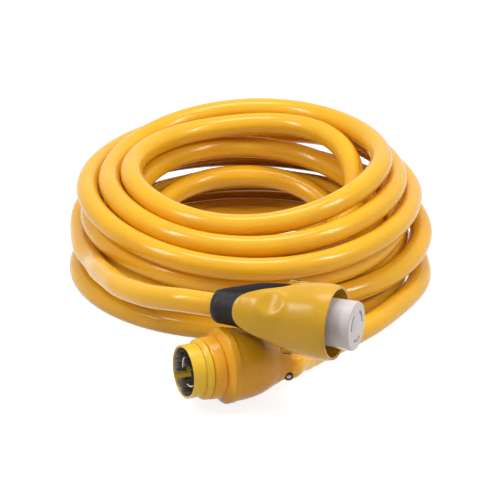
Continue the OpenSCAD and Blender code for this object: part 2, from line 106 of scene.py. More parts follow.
# Angle in degrees, radius and height
TAIL_ROUND = [
    (22, 207, 95), (38, 216, 97), (54, 231, 97), (72, 245, 93), (90, 249, 86), (108, 248, 79),
    (126, 245, 70), (144, 232, 61), (160, 221, 53), (175, 209, 47), (190, 205, 48), (205, 207, 52),
]
TAIL_ON = [
    (-178, -144, 66), (-164, -195, 78), (-151, -234, 86), (-132, -267, 93), (-114, -290, 98),
    (-96, -307, 103), (-79, -320, 107),
]
TAIL_LOW = [
    (203, -60, 10.8), (189, -96, 10.8), (169, -135, 10.8), (146, -173, 10.8),
    (123, -203, 10.8), (103, -227, 11.4), (86, -250, 14),
]


def smooth(x):
    x = min(max(x, 0.0), 1.0)
    return x * x * (3 - 2 * x)


def around(v, a):
    """A value that goes through v's four numbers at right, back, left and front."""
    mean = sum(v) / 4
    return (mean + (v[0] - v[2]) / 2 * math.cos(a) + (v[1] - v[3]) / 2 * math.sin(a)
            + (v[0] - v[1] + v[2] - v[3]) / 4 * math.cos(2 * a))


def coil_point(t):
    """A point of the coil's centreline after t turns, in millimetres."""
    a = 2 * math.pi * t
    p = t % (2 * LAYER_TURNS)
    s = 1 - p / LAYER_TURNS if p <= LAYER_TURNS else p / LAYER_TURNS - 1
    v = sum(smooth((t - c) / CLIMB_LEN + 0.5) for c in CLIMB_AT)
    lo = min(int(v), len(RAILS) - 2)
    w = v - lo
    q = [(1 - w) * around(RAILS[lo][k], a) + w * around(RAILS[lo + 1][k], a) for k in range(4)]
    crown = CROWN_H * max(math.sin(a), 0) ** 2 * 4 * s * (1 - s) * max(0, v - len(RAILS) + 2)
    r = q[0] + s * (q[2] - q[0])
    z = q[1] + s * (q[3] - q[1]) + crown
    return Vector((r * math.cos(a), r * math.sin(a), z))


def through(points, spacing):
    """A smooth line through the points, with its own points about that far apart."""
    ends = [2 * points[0] - points[1]] + points + [2 * points[-1] - points[-2]]
    line = [points[0]]
    for a, b, c, d in zip(ends, ends[1:], ends[2:], ends[3:]):
        ta, tb, tc = [max((q - p).length, 1e-6) ** 0.5 for p, q in ((a, b), (b, c), (c, d))]
        m1 = (c - b) + tb * ((b - a) / ta - (c - a) / (ta + tb))
        m2 = (c - b) + tb * ((d - c) / tc - (d - b) / (tb + tc))
        n = max(1, round((c - b).length / spacing))
        for i in range(1, n + 1):
            u = i / n
            line.append((2 * u**3 - 3 * u**2 + 1) * b + (u**3 - 2 * u**2 + u) * m1
                        + (3 * u**2 - 2 * u**3) * c + (u**3 - u**2) * m2)
    return line


def cord_route():
    """The whole cord's centreline, from inside the plug's boot to inside the connector's grip."""
    turns = len(RAILS) * LAYER_TURNS
    coil = [coil_point(i / POINTS_A_TURN) + SHIFT for i in range(turns * POINTS_A_TURN + 1)]
    foot = coil[0] + COIL_LEAD * (coil_point(0) - coil_point(0.001)).normalized()
    head = coil[-1] + COIL_LEAD * (coil_point(turns) - coil_point(turns - 0.001)).normalized()
    low = [BOOT_END - BOOT_IN * BOOT_DIR, BOOT_END + BOOT_OUT * BOOT_DIR]
    low += [Vector(p) + SHIFT for p in reversed(TAIL_LOW)]
    high = [Vector((r * math.cos(math.radians(a)), r * math.sin(math.radians(a)), z)) + SHIFT
            for a, r, z in TAIL_ROUND]
    high += [Vector(p) + SHIFT for p in TAIL_ON]
    high += [CONNECTOR @ Vector((x, 0, 0)) / MM for x in (GRIP_OUT, GRIP_IN)]
    return through(low + [foot] + coil + [head] + high, ROUTE_STEP)


# ---------------------------------------------------------------- mesh helpers
SAME_POINT, NO_AREA = 1e-6, 1e-14
CORNER_STEPS, CORNER_SHARE = 5, 0.48
ARC_STEPS = 24


def made(name, verts, faces, matrix, closed=True):
    """A mesh object at the origin, its place in its mesh."""
    mesh = bpy.data.meshes.new(name)
    mesh.from_pydata([tuple(v) for v in verts], [], faces)
    mesh.transform(matrix)
    obj = bpy.data.objects.new(name, mesh)
    bpy.context.scene.collection.objects.link(obj)
    bm = bmesh.new()
    bm.from_mesh(mesh)
    bmesh.ops.remove_doubles(bm, verts=bm.verts, dist=SAME_POINT)
    if closed:
        bmesh.ops.recalc_face_normals(bm, faces=bm.faces)
    bm.to_mesh(mesh)
    bm.free()
    return obj


def rounded(points, radius, closed=False):
    """The line of points with each corner turned on the radius, or less where it is short."""
    n = len(points)
    out = []
    for i, p in enumerate(points):
        r = radius[i] if isinstance(radius, (list, tuple)) else radius
        if not closed and i in (0, n - 1) or r <= 0:
            out.append(tuple(p))
            continue
        p = np.array(p, float)
        a, b = np.array(points[i - 1], float) - p, np.array(points[(i + 1) % n], float) - p
        la, lb = np.linalg.norm(a), np.linalg.norm(b)
        a, b = a / la, b / lb
        half = math.acos(max(-1.0, min(1.0, float(a @ b)))) / 2
        back = min(r / math.tan(half), CORNER_SHARE * la, CORNER_SHARE * lb) if half > 0.01 else 0
        for k in range(CORNER_STEPS + 1):
            u = k / CORNER_STEPS
            out.append(tuple((1 - u) ** 2 * (p + back * a) + 2 * u * (1 - u) * p + u**2 * (p + back * b)))
    return out


def lathe(name, profile, matrix, closed=False, steps=128):
    """Turns (x, radius) points about the part's own X axis."""
    verts, faces, n = [], [], len(profile)
    for k in range(steps):
        a = 2 * math.pi * k / steps
        verts += [(x, r * math.cos(a), r * math.sin(a)) for x, r in profile]
    for k in range(steps):
        j = (k + 1) % steps
        for i in range(n if closed else n - 1):
            m = (i + 1) % n
            faces.append((k * n + i, k * n + m, j * n + m, j * n + i))
    obj = made(name, verts, faces, matrix)
    bm = bmesh.new()
    bm.from_mesh(obj.data)
    flat = [f for f in bm.faces if f.calc_area() < NO_AREA]
    bmesh.ops.delete(bm, geom=flat, context="FACES_ONLY")
    bmesh.ops.recalc_face_normals(bm, faces=bm.faces)
    bm.to_mesh(obj.data)
    bm.free()
    return obj


def slab(name, outline, z1, z2, matrix):
    """An outline in the part's XY plane, raised from z1 to z2."""
    n = len(outline)
    verts = [(x, y, z) for z in (z1, z2) for x, y in outline]
    faces = [tuple(range(n))[::-1], tuple(range(n, 2 * n))]
    faces += [(i, (i + 1) % n, n + (i + 1) % n, n + i) for i in range(n)]
    return made(name, verts, faces, matrix)


def arc_bar(name, x1, x2, r, t, start, end, matrix):
    """A bar bent round the part's X axis, from one angle to another."""
    verts, faces, steps = [], [], ARC_STEPS
    for k in range(steps + 1):
        a = math.radians(start + (end - start) * k / steps)
        verts += [(x, q * math.cos(a), q * math.sin(a))
                  for x, q in ((x1, r - t / 2), (x2, r - t / 2), (x2, r + t / 2), (x1, r + t / 2))]
    for k in range(steps):
        for i in range(4):
            j = (i + 1) % 4
            faces.append((4 * k + i, 4 * k + j, 4 * k + 4 + j, 4 * k + 4 + i))
    faces += [(0, 1, 2, 3), (4 * steps + 3, 4 * steps + 2, 4 * steps + 1, 4 * steps)]
    return made(name, verts, faces, matrix)


def joined(name, parts):
    """One object from several."""
    bm = bmesh.new()
    for p in parts:
        bm.from_mesh(p.data)
        bpy.data.objects.remove(p)
    mesh = bpy.data.meshes.new(name)
    bm.to_mesh(mesh)
    bm.free()
    obj = bpy.data.objects.new(name, mesh)
    bpy.context.scene.collection.objects.link(obj)
    return obj


def settled(obj):
    """Turns what the modifiers make into the object's own plain mesh."""
    graph = bpy.context.evaluated_depsgraph_get()
    mesh = bpy.data.meshes.new_from_object(obj.evaluated_get(graph))
    obj.modifiers.clear()
    obj.data = mesh
    return obj


def cut(obj, cutters):
    """Takes the cutters out of the object."""
    for c in cutters:
        m = obj.modifiers.new("cut", "BOOLEAN")
        m.operation, m.object, m.solver = "DIFFERENCE", c, "EXACT"
    settled(obj)
    for c in cutters:
        bpy.data.objects.remove(c)
    return obj


def softened(obj, width, angle=35):
    """Rounds the object's edges by that many millimetres."""
    m = obj.modifiers.new("edges", "BEVEL")
    m.width, m.segments, m.limit_method = width * MM, 3, "ANGLE"
    m.angle_limit = math.radians(angle)
    return settled(obj)


def finished(obj, material, body=ROOT, replaces=(), angle=40):
    """Gives a piece its shading, finish and body, and hides the nodes it stands for."""
    obj.data.shade_smooth()
    obj.data.set_sharp_from_angle(angle=math.radians(angle))
    obj.data.materials.clear()
    obj.data.materials.append(material)
    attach(obj, body)
    if replaces:
        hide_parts(*replaces)
    return obj


def dressed(node, material):
    """Gives a carried-over node its finish."""
    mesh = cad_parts[node].data
    mesh.materials.clear()
    mesh.materials.append(material)


# ---------------------------------------------------------------- materials
def shader(name):
    mat = bpy.data.materials.new(name)
    mat.use_nodes = True
    tree = mat.node_tree
    return mat, tree, tree.nodes["Principled BSDF"]


def node(tree, kind, **inputs):
    """A new node with its inputs set: a value, or a socket to link from."""
    n = tree.nodes.new(kind)
    for key, value in inputs.items():
        socket = n.inputs[key.replace("_", " ")]
        if isinstance(value, bpy.types.NodeSocket):
            tree.links.new(value, socket)
        else:
            socket.default_value = value
    return n


def noise(tree, size, detail=3.0, stretch=(1, 1, 1), seed=0.0):
    """Noise on object coordinates with grains of about that size, in millimetres."""
    coords = tree.nodes.new("ShaderNodeTexCoord").outputs["Object"]
    mapped = node(tree, "ShaderNodeMapping", Vector=coords, Location=(seed, seed, seed),
                  Scale=[1 / (size * MM * s) for s in stretch])
    return node(tree, "ShaderNodeTexNoise", Vector=mapped.outputs[0], Scale=1.0, Detail=detail).outputs["Fac"]


def ranged(tree, value, low, high, start=0.3, end=0.7):
    n = node(tree, "ShaderNodeMapRange", Value=value, From_Min=start, From_Max=end, To_Min=low, To_Max=high)
    return n.outputs["Result"]


def mixed(tree, factor, a, b):
    """Colour a turned to b by the factor."""
    n = tree.nodes.new("ShaderNodeMix")
    n.data_type = "RGBA"
    for socket, value in ((n.inputs[0], factor), (n.inputs[6], a), (n.inputs[7], b)):
        if isinstance(value, bpy.types.NodeSocket):
            tree.links.new(value, socket)
        else:
            socket.default_value = value
    return n.outputs[2]


def shade(colour, factor):
    return [min(1.0, c * factor) for c in colour[:3]] + [1.0]


def bumped(tree, bsdf, *layers):
    """Stacks bumps: each layer is a height socket, its strength and its depth in millimetres."""
    last = None
    for height, strength, depth in layers:
        b = node(tree, "ShaderNodeBump", Height=height, Strength=strength, Distance=depth * MM)
        if last:
            tree.links.new(last.outputs[0], b.inputs["Normal"])
        last = b
    tree.links.new(last.outputs[0], bsdf.inputs["Normal"])


def moulded(name, colour, rough=0.35, gloss=0.25, mottle=0.08, grain=0.15, grain_size=0.6, ripple=0.0,
            scuffs=0.12):
    """Moulded plastic or rubber: uneven tone, fine grain, slow ripples and light scuffs."""
    mat, tree, bsdf = shader(name)
    tone = noise(tree, 38, 4)
    base = mixed(tree, ranged(tree, tone, 0, 1), shade(colour, 1 - mottle), shade(colour, 1 + mottle))
    fine = noise(tree, 1.4, 2, seed=7)
    base = mixed(tree, ranged(tree, fine, 0, 0.35), base, shade(colour, 0.86))
    marks = noise(tree, 5, 5, (1, 6, 1), seed=3)
    marked = ranged(tree, marks, 0, scuffs, 0.62, 0.72)
    base = mixed(tree, marked, base, [*(0.5 * c + 0.32 for c in colour[:3]), 1])
    tree.links.new(base, bsdf.inputs["Base Color"])
    spread = noise(tree, 11, 4, seed=11)
    tree.links.new(ranged(tree, spread, rough * 0.82, min(1, rough * 1.22)), bsdf.inputs["Roughness"])
    bsdf.inputs["Specular IOR Level"].default_value = gloss
    layers = [(noise(tree, grain_size, 2, seed=5), grain, 0.12)]
    if ripple:
        layers.insert(0, (noise(tree, 14, 1, seed=2), ripple, 1.2))
    bumped(tree, bsdf, *layers)
    return mat


def metal(name, colour, rough=0.3, streak=(1, 1, 1)):
    """Plated or bare metal with a drawn or turned grain and a little tarnish."""
    mat, tree, bsdf = shader(name)
    bsdf.inputs["Metallic"].default_value = 1.0
    tone = noise(tree, 9, 4)
    base = mixed(tree, ranged(tree, tone, 0, 0.2), shade(colour, 1.06), shade(colour, 0.5))
    tree.links.new(base, bsdf.inputs["Base Color"])
    lines = noise(tree, 2.5, 3, streak, seed=4)
    tree.links.new(ranged(tree, lines, rough * 0.7, rough * 1.4), bsdf.inputs["Roughness"])
    bumped(tree, bsdf, (lines, 0.12, 0.05))
    return mat


def cord_jacket(colour):
    """The cord's vinyl jacket: glossy, faintly uneven over the conductors, and scuffed."""
    mat, tree, bsdf = shader("vinyl_jacket")
    tone = noise(tree, 60, 4)
    base = mixed(tree, ranged(tree, tone, 0, 1), shade(colour, 0.94), shade(colour, 1.05))
    scuffs = noise(tree, 5, 6, seed=9)
    base = mixed(tree, ranged(tree, scuffs, 0, 0.25, 0.6, 0.76), base, shade(colour, 0.8))
    tree.links.new(base, bsdf.inputs["Base Color"])
    tree.links.new(ranged(tree, noise(tree, 14, 4, seed=6), 0.15, 0.24), bsdf.inputs["Roughness"])
    bsdf.inputs["Specular IOR Level"].default_value = 0.3
    bumped(tree, bsdf, (noise(tree, 34, 1, seed=1), 0.35, 1.2), (noise(tree, 1.6, 2, seed=8), 0.05, 0.1))
    return mat


# ---------------------------------------------------------------- settings
def length(name, description, default, low, high):
    return FloatProperty(name=name, description=description, default=default, min=low, max=high,
                         subtype="DISTANCE", unit="LENGTH", precision=4)


def paint(name, description, default):
    return FloatVectorProperty(name=name, description=description, default=default, size=3,
                               min=0, max=1, subtype="COLOR")


class CordLooks(bpy.types.PropertyGroup):
    diameter: length("Diameter", "Outside diameter of the cord", 0.027, 0.024, 0.0274)
    sides: IntProperty(name="Smoothness", description="How finely the cord is rounded",
                       default=8, min=2, max=16)
    colour: paint("Colour", "Colour of the cord's jacket", (0.83, 0.425, 0.016))


class ConnectorLooks(bpy.types.PropertyGroup):
    wall: length("Jaw wall", "Thickness of a jaw's wall", 0.003, 0.0025, 0.005)
    dish: length("Thumb dish", "Depth of the thumb dish in each jaw", 0.0024, 0, 0.003)
    jaw_colour: paint("Jaws", "Colour of the two jaws", (0.66, 0.355, 0.018))
    grip_colour: paint("Grip", "Colour of the rubber grip", (0.013, 0.010, 0.0115))
    face_colour: paint("Contact face", "Colour of the contact face's body", (0.62, 0.56, 0.54))


class PlugLooks(bpy.types.PropertyGroup):
    shroud_radius: length("Shroud radius", "Outside radius of the plug's shroud", 0.0305, 0.030, 0.0315)
    body_colour: paint("Body", "Colour of the plug's body and rear ring", (0.90, 0.405, 0.016))
    # The boot is the body's vinyl painted lighter: painted light, so the boot reads as lit beside the body in
    # the jaw's shade.
    boot_painted_light_colour: paint("Boot", "Colour of the plug's boot", (0.95, 0.50, 0.03))
    shroud_colour: paint("Shroud", "Colour of the shroud and the front ring", (0.82, 0.50, 0.03))
    shell_colour: paint("Shell", "Colour of the metal shell in the shroud", (0.55, 0.49, 0.43))


class StageLooks(bpy.types.PropertyGroup):
    key: FloatProperty(name="Key light", description="Power of the large light overhead, in watts",
                       default=20, min=0, max=400)
    side: FloatProperty(name="Side lights", description="Power of each light at the sides, in watts",
                        default=15, min=0, max=400)
    floor: FloatProperty(name="Floor tone", description="How much of the shadow the floor shows",
                         default=0.3, min=0, max=1)


class Piece:
    """What all the operators here share."""

    bl_options = {"REGISTER", "UNDO"}


# ---------------------------------------------------------------- the cord
class CORD_OT_cord(Piece, bpy.types.Operator):
    """Lay the cord: its coil and both free ends, in one length"""

    bl_idname = "shore_cord.cord"
    bl_label = "Cord"

    def execute(self, context):
        looks = context.scene.cord_looks
        points = cord_route()
        curve = bpy.data.curves.new("cord", "CURVE")
        curve.dimensions = "3D"
        curve.bevel_depth = looks.diameter / 2
        curve.bevel_resolution = looks.sides
        curve.use_fill_caps = True
        spline = curve.splines.new("POLY")
        spline.points.add(len(points) - 1)
        spline.points.foreach_set("co", [c for p in points for c in (*(p * MM), 1)])
        spline.use_smooth = True
        obj = bpy.data.objects.new("cord", curve)
        context.scene.collection.objects.link(obj)
        curve.materials.append(cord_jacket(looks.colour))
        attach(obj, ROOT)
        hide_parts("cord_coil", "cord_tail_female", "cord_tail_male")
        return {"FINISHED"}


# ---------------------------------------------------------------- the connector
GRIP = [(5, 15.2), (6, 16.8), (8, 18.2), (20, 20), (30, 20.5), (40, 22), (50, 24.2), (60, 26.6), (80, 30),
        (90, 32.4), (96, 33)]
GRIP_INSIDE = [(104, 24), (72, 24), (62, 23), (42, 17), (30, 13.8), (5, 13.8)]
SPINE = [(8, 17.5), (20, 21.8), (34, 25.7), (48, 29.8), (61, 33), (76, 34.6), (88, 35.7), (99.2, 35.7)]
PAD = [(66, 22), (78, 28.5), (86, 31.4), (93, 35.7), (99.2, 35.7)]
JAW = [(39, 35.2), (41, 36), (50, 36.9), (60, 37.4), (80, 38), (98, 38.8), (112, 40.4), (125, 42),
       (140, 43), (148, 42.4), (152, 41.4)]
JAW_SIDE = [(39.5, 2.2), (39.8, 4.6), (40.6, 7.8), (42.4, 11.6), (46, 16), (51.7, 19.8), (60, 23.5),
            (68.5, 26.5), (80, 29.5), (90, 32.5), (96.5, 35), (103, 39.5), (107, 43.5), (112, 46), (160, 60)]
GRIP_TOP = (104, 33)
# The jaws: their ends, and the dish's place, size and the rim round it
JAW_ENDS = (39.5, 152)
DISH_X, DISH_TURN, DISH_R = 83, 20, 15
RIM_H, RIM_R, RIM_W = 0.45, 16, 4.5
LUG_R, LUG_T, LUG_ROOM = 7.5, 2.2, 8.1
# The contacts: first angles, how far round each slot goes, and the radii of their rings
SLOTS = [20, 140, 260]
SLOT_SPAN = 62
CONTACT_RING, BLADE_RING = 17, 17.5


def follow(points):
    """A smooth function through (x, y) points."""
    x, y = np.array(points, float).T
    slope = np.gradient(y, x)

    def at(q):
        q = np.clip(q, x[0], x[-1])
        i = np.clip(np.searchsorted(x, q) - 1, 0, len(x) - 2)
        h = x[i + 1] - x[i]
        u = (q - x[i]) / h
        return ((2 * u**3 - 3 * u**2 + 1) * y[i] + (u**3 - 2 * u**2 + u) * h * slope[i]
                + (3 * u**2 - 2 * u**3) * y[i + 1] + (u**3 - u**2) * h * slope[i + 1])

    return at


def jaw_shell(name, side, wall, dish):
    """One jaw's curved shell. Side is -1 for the near jaw and 1 for the far one."""
    radius, half = follow(JAW), follow(JAW_SIDE)
    rows, cols = 90, 64
    verts = []
    for i in range(rows + 1):
        x = JAW_ENDS[0] + (JAW_ENDS[1] - JAW_ENDS[0]) * (i / rows) ** 1.35
        r, h = float(radius(x)), float(half(x))
        widest = min(math.asin(min(1.0, h / r)), math.acos(0.5 / r))
        for k in range(cols + 1):
            a = widest * (2 * k / cols - 1)
            away = math.hypot(x - DISH_X, r * (a - math.radians(DISH_TURN)))
            hollow = dish * max(0.0, 1 - (away / DISH_R) ** 2) ** 2
            rim = RIM_H * math.exp(-(((away - RIM_R) / RIM_W) ** 2))
            q = r - hollow + rim
            verts.append((x, side * q * math.cos(a), q * math.sin(a)))
    n = cols + 1
    faces = [(i * n + k, i * n + k + 1, (i + 1) * n + k + 1, (i + 1) * n + k)
             for i in range(rows) for k in range(cols)]
    if side < 0:
        faces = [f[::-1] for f in faces]
    obj = made(name, verts, faces, CONNECTOR, closed=False)
    thick = obj.modifiers.new("wall", "SOLIDIFY")
    thick.thickness, thick.offset, thick.use_even_offset = wall, -1, True
    # Room for the other jaw's lugs
    ring = [(PIVOT_X + LUG_ROOM * math.cos(a), LUG_ROOM * math.sin(a)) for a in np.linspace(0, 6.1, 40)]
    room = [slab("room", ring, z, z + 16, CONNECTOR) for z in (35.2, -51.2)]
    return softened(cut(settled(obj), room), 0.7, angle=50)


def jaw_lugs(name, side, low):
    """The two lugs that carry a jaw on its pins."""
    eye = [(PIVOT_X + LUG_R * math.cos(a), LUG_R * math.sin(a))
           for a in np.linspace(math.radians(195), math.radians(-15), 24)]
    outline = [(x, -side * y) for x, y in eye + [(PIVOT_X + 10, -4), (PIVOT_X + 10, -13), (PIVOT_X - 4, -13)]]
    pair = [slab(name, outline, low, low + LUG_T, CONNECTOR),
            slab(name, outline, -low - LUG_T, -low, CONNECTOR)]
    return softened(joined(name, pair), 0.4, angle=30)


class CORD_OT_jaws(Piece, bpy.types.Operator):
    """Make the two sprung jaws with their thumb dishes and lugs"""

    bl_idname = "shore_cord.jaws"
    bl_label = "Jaws"

    def execute(self, context):
        looks = context.scene.connector_looks
        mat = moulded("jaw_plastic", looks.jaw_colour, rough=0.26, mottle=0.05, ripple=0.1)
        for body, side, low in (("near_jaw", -1, 36.0), ("far_jaw", 1, 38.5)):
            parts = [jaw_shell(body, side, looks.wall, looks.dish / MM), jaw_lugs(body, side, low)]
            finished(joined(body + "_shell", parts), mat, body, [body], angle=50)
        return {"FINISHED"}


class CORD_OT_grip(Piece, bpy.types.Operator):
    """Make the rubber grip with its two spines and the gasket in front of it"""

    bl_idname = "shore_cord.grip"
    bl_label = "Rubber grip"

    def execute(self, context):
        looks = context.scene.connector_looks
        mat = moulded("rubber", looks.grip_colour, rough=0.5, mottle=0.18, grain=0.5, grain_size=0.8,
                      ripple=0.2, scuffs=0.05)
        outside = [(float(x), float(follow(GRIP)(x))) for x in np.linspace(GRIP[0][0], GRIP[-1][0], 60)]
        shell = lathe("grip", GRIP_INSIDE[-1:] + outside + [GRIP_TOP] + GRIP_INSIDE[:-1], CONNECTOR,
                      closed=True)
        spines = []
        for up, top in ((1, SPINE), (-1, PAD)):
            outline = [(top[0][0], 8)] + top + [(top[-1][0], 20), (80, 12)]
            turned = Matrix.Rotation(math.radians(90 * up), 4, "X")
            spine = slab("grip", outline, -9, 9, CONNECTOR @ turned)
            well = Matrix.Translation((PIVOT_X, 0, 33.1 if up > 0 else -43.1))
            hole = lathe("hole", [(0, 0), (0, 4.3), (10, 4.3), (10, 0)],
                         CONNECTOR @ well @ ALONG_Z, steps=32)
            spines.append(softened(cut(spine, [hole]), 1.6, angle=25))
        finished(joined("grip", [shell] + spines), mat, replaces=["rubber_grip"])
        ring = rounded([(104, 33), (104, 35), (108, 35), (108, 33)], 0.6, closed=True)
        finished(lathe("gasket", ring, CONNECTOR, closed=True), mat, replaces=["face_gasket"])
        return {"FINISHED"}


class CORD_OT_contact_face(Piece, bpy.types.Operator):
    """Make the pale contact face with its curved slots, and the contacts in them"""

    bl_idname = "shore_cord.contact_face"
    bl_label = "Contact face"

    def execute(self, context):
        looks = context.scene.connector_looks
        pale = moulded("face_plastic", looks.face_colour, rough=0.36, mottle=0.03, ripple=0.1, scuffs=0.08)
        brass = metal("brass", (0.72, 0.50, 0.20), 0.28, (8, 1, 1))
        profile = rounded([(104, 0), GRIP_TOP, (109, 33), (109, 27.9), (175, 27.9), (175, 0)],
                          [0, 0.8, 0.8, 0.6, 2.4, 0])
        body = lathe("contact_face", profile, CONNECTOR)
        slots = [arc_bar("slot", 106, 180, CONTACT_RING, 3.2, a, a + SLOT_SPAN, CONNECTOR) for a in SLOTS]
        groove = arc_bar("groove", 113, 169, 27.9, 3, 248, 292, CONNECTOR)
        cut(body, slots + [groove])
        finished(softened(body, 0.35), pale, replaces=["insulator_face"])
        lines = [arc_bar("line", 96, 170, CONTACT_RING, 1.8, a + 2.5, a + SLOT_SPAN - 2.5, CONNECTOR)
                 for a in SLOTS]
        finished(softened(joined("line_strips", lines), 0.3), brass, replaces=["line_contacts"])
        strip = arc_bar("ground_strip", 113.3, 168.7, 27.05, 1.2, 249.5, 290.5, CONNECTOR)
        finished(softened(strip, 0.3), brass, replaces=["ground_contact"])
        return {"FINISHED"}


# ---------------------------------------------------------------- what repeats
def tree_with(name, sockets):
    """A new geometry tree with named inputs."""
    tree = bpy.data.node_groups.new(name, "GeometryNodeTree")
    tree.interface.new_socket("Geometry", in_out="OUTPUT", socket_type="NodeSocketGeometry")
    for label, kind, default in sockets:
        s = tree.interface.new_socket(label, in_out="INPUT", socket_type="NodeSocket" + kind)
        if default is not None:
            s.default_value = default
    return tree, tree.nodes.new("NodeGroupInput"), tree.nodes.new("NodeGroupOutput")


def grown(name, tree, values, matrix):
    """What the tree makes, as a plain mesh in its place."""
    obj = bpy.data.objects.new(name, bpy.data.meshes.new(name))
    bpy.context.scene.collection.objects.link(obj)
    m = obj.modifiers.new("shape", "NODES")
    m.node_group = tree
    for item in tree.interface.items_tree:
        if item.in_out == "INPUT" and item.name in values:
            m[item.identifier] = values[item.name]
    settled(obj)
    obj.data.transform(matrix)
    return obj


def screw_ring_tree():
    """Screws in a ring about X: a flat round head on a shank, with a cross in the head."""
    tree, given, out = tree_with("screw_ring", [
        ("Count", "Int", 4), ("Ring radius", "Float", 18.0), ("First angle", "Float", 45.0),
        ("Head radius", "Float", 3.2), ("Head height", "Float", 2.0), ("Shank radius", "Float", 1.7),
        ("Shank length", "Float", 7.0), ("Finish", "Material", None)])
    ring = node(tree, "GeometryNodeMeshCircle", Vertices=given.outputs["Count"],
                Radius=given.outputs["Ring radius"])
    turned = node(tree, "GeometryNodeTransform", Geometry=ring.outputs[0], Rotation=(0, math.radians(90), 0))
    first = node(tree, "ShaderNodeMath", Value=given.outputs["First angle"])
    first.operation = "RADIANS"
    spun = node(tree, "ShaderNodeCombineXYZ", X=first.outputs[0])
    placed_ring = node(tree, "GeometryNodeTransform", Geometry=turned.outputs[0], Rotation=spun.outputs[0])
    head = node(tree, "GeometryNodeMeshCylinder", Vertices=32, Radius=given.outputs["Head radius"],
                Depth=given.outputs["Head height"])
    shank = node(tree, "GeometryNodeMeshCylinder", Vertices=20, Radius=given.outputs["Shank radius"],
                 Depth=given.outputs["Shank length"])
    half = node(tree, "ShaderNodeMath", Value=given.outputs["Shank length"])
    half.operation = "MULTIPLY"
    half.inputs[1].default_value = 0.5
    low = node(tree, "ShaderNodeCombineXYZ", Z=half.outputs[0])
    sunk = node(tree, "GeometryNodeTransform", Geometry=shank.outputs["Mesh"], Translation=low.outputs[0])
    slot_a = node(tree, "GeometryNodeMeshCube", Size=(3.6, 0.7, 1.2))
    slot_b = node(tree, "GeometryNodeMeshCube", Size=(0.7, 3.6, 1.2))
    cross = node(tree, "GeometryNodeJoinGeometry")
    tree.links.new(slot_a.outputs["Mesh"], cross.inputs[0])
    tree.links.new(slot_b.outputs["Mesh"], cross.inputs[0])
    lifted = node(tree, "ShaderNodeMath", Value=given.outputs["Head height"])
    lifted.operation = "MULTIPLY"
    lifted.inputs[1].default_value = -0.5
    top = node(tree, "ShaderNodeCombineXYZ", Z=lifted.outputs[0])
    on_top = node(tree, "GeometryNodeTransform", Geometry=cross.outputs[0], Translation=top.outputs[0])
    carved = tree.nodes.new("GeometryNodeMeshBoolean")
    carved.operation, carved.solver = "DIFFERENCE", "EXACT"
    tree.links.new(head.outputs["Mesh"], carved.inputs["Mesh 1"])
    tree.links.new(on_top.outputs[0], carved.inputs["Mesh 2"])
    screw = node(tree, "GeometryNodeJoinGeometry")
    tree.links.new(carved.outputs["Mesh"], screw.inputs[0])
    tree.links.new(sunk.outputs[0], screw.inputs[0])
    laid = node(tree, "GeometryNodeTransform", Geometry=screw.outputs[0], Rotation=(0, math.radians(90), 0))
    copies = node(tree, "GeometryNodeInstanceOnPoints", Points=placed_ring.outputs[0],
                  Instance=laid.outputs[0])
    real = node(tree, "GeometryNodeRealizeInstances", Geometry=copies.outputs[0])
    painted = node(tree, "GeometryNodeSetMaterial", Geometry=real.outputs[0],
                   Material=given.outputs["Finish"])
    tree.links.new(painted.outputs[0], out.inputs[0])
    return tree


def spring_tree():
    """A spring wound round the pin, with a straight leg along the spine."""
    tree, given, out = tree_with("jaw_spring", [
        ("Wire", "Float", 0.8), ("Radius", "Float", 3.9), ("Turns", "Float", 2.0), ("Height", "Float", 1.9),
        ("Leg", "Float", 9.0), ("Finish", "Material", None)])
    coil = node(tree, "GeometryNodeCurveSpiral", Resolution=24, Rotations=given.outputs["Turns"],
                Start_Radius=given.outputs["Radius"], End_Radius=given.outputs["Radius"],
                Height=given.outputs["Height"])
    back = node(tree, "ShaderNodeMath", Value=given.outputs["Leg"])
    back.operation = "MULTIPLY"
    back.inputs[1].default_value = -1.0
    end = node(tree, "ShaderNodeCombineXYZ", X=back.outputs[0], Y=given.outputs["Radius"])
    start = node(tree, "ShaderNodeCombineXYZ", Y=given.outputs["Radius"])
    leg = node(tree, "GeometryNodeCurvePrimitiveLine", Start=start.outputs[0], End=end.outputs[0])
    turned = node(tree, "GeometryNodeTransform", Geometry=coil.outputs[0], Rotation=(0, 0, math.radians(90)))
    both = node(tree, "GeometryNodeJoinGeometry")
    tree.links.new(turned.outputs[0], both.inputs[0])
    tree.links.new(leg.outputs[0], both.inputs[0])
    half = node(tree, "ShaderNodeMath", Value=given.outputs["Wire"])
    half.operation = "MULTIPLY"
    half.inputs[1].default_value = 0.5
    section = node(tree, "GeometryNodeCurvePrimitiveCircle", Resolution=12, Radius=half.outputs[0])
    wire = node(tree, "GeometryNodeCurveToMesh", Curve=both.outputs[0],
                Profile_Curve=section.outputs[0])
    wire.inputs["Fill Caps"].default_value = True
    real = node(tree, "GeometryNodeRealizeInstances", Geometry=wire.outputs[0])
    painted = node(tree, "GeometryNodeSetMaterial", Geometry=real.outputs[0],
                   Material=given.outputs["Finish"])
    tree.links.new(painted.outputs[0], out.inputs[0])
    return tree


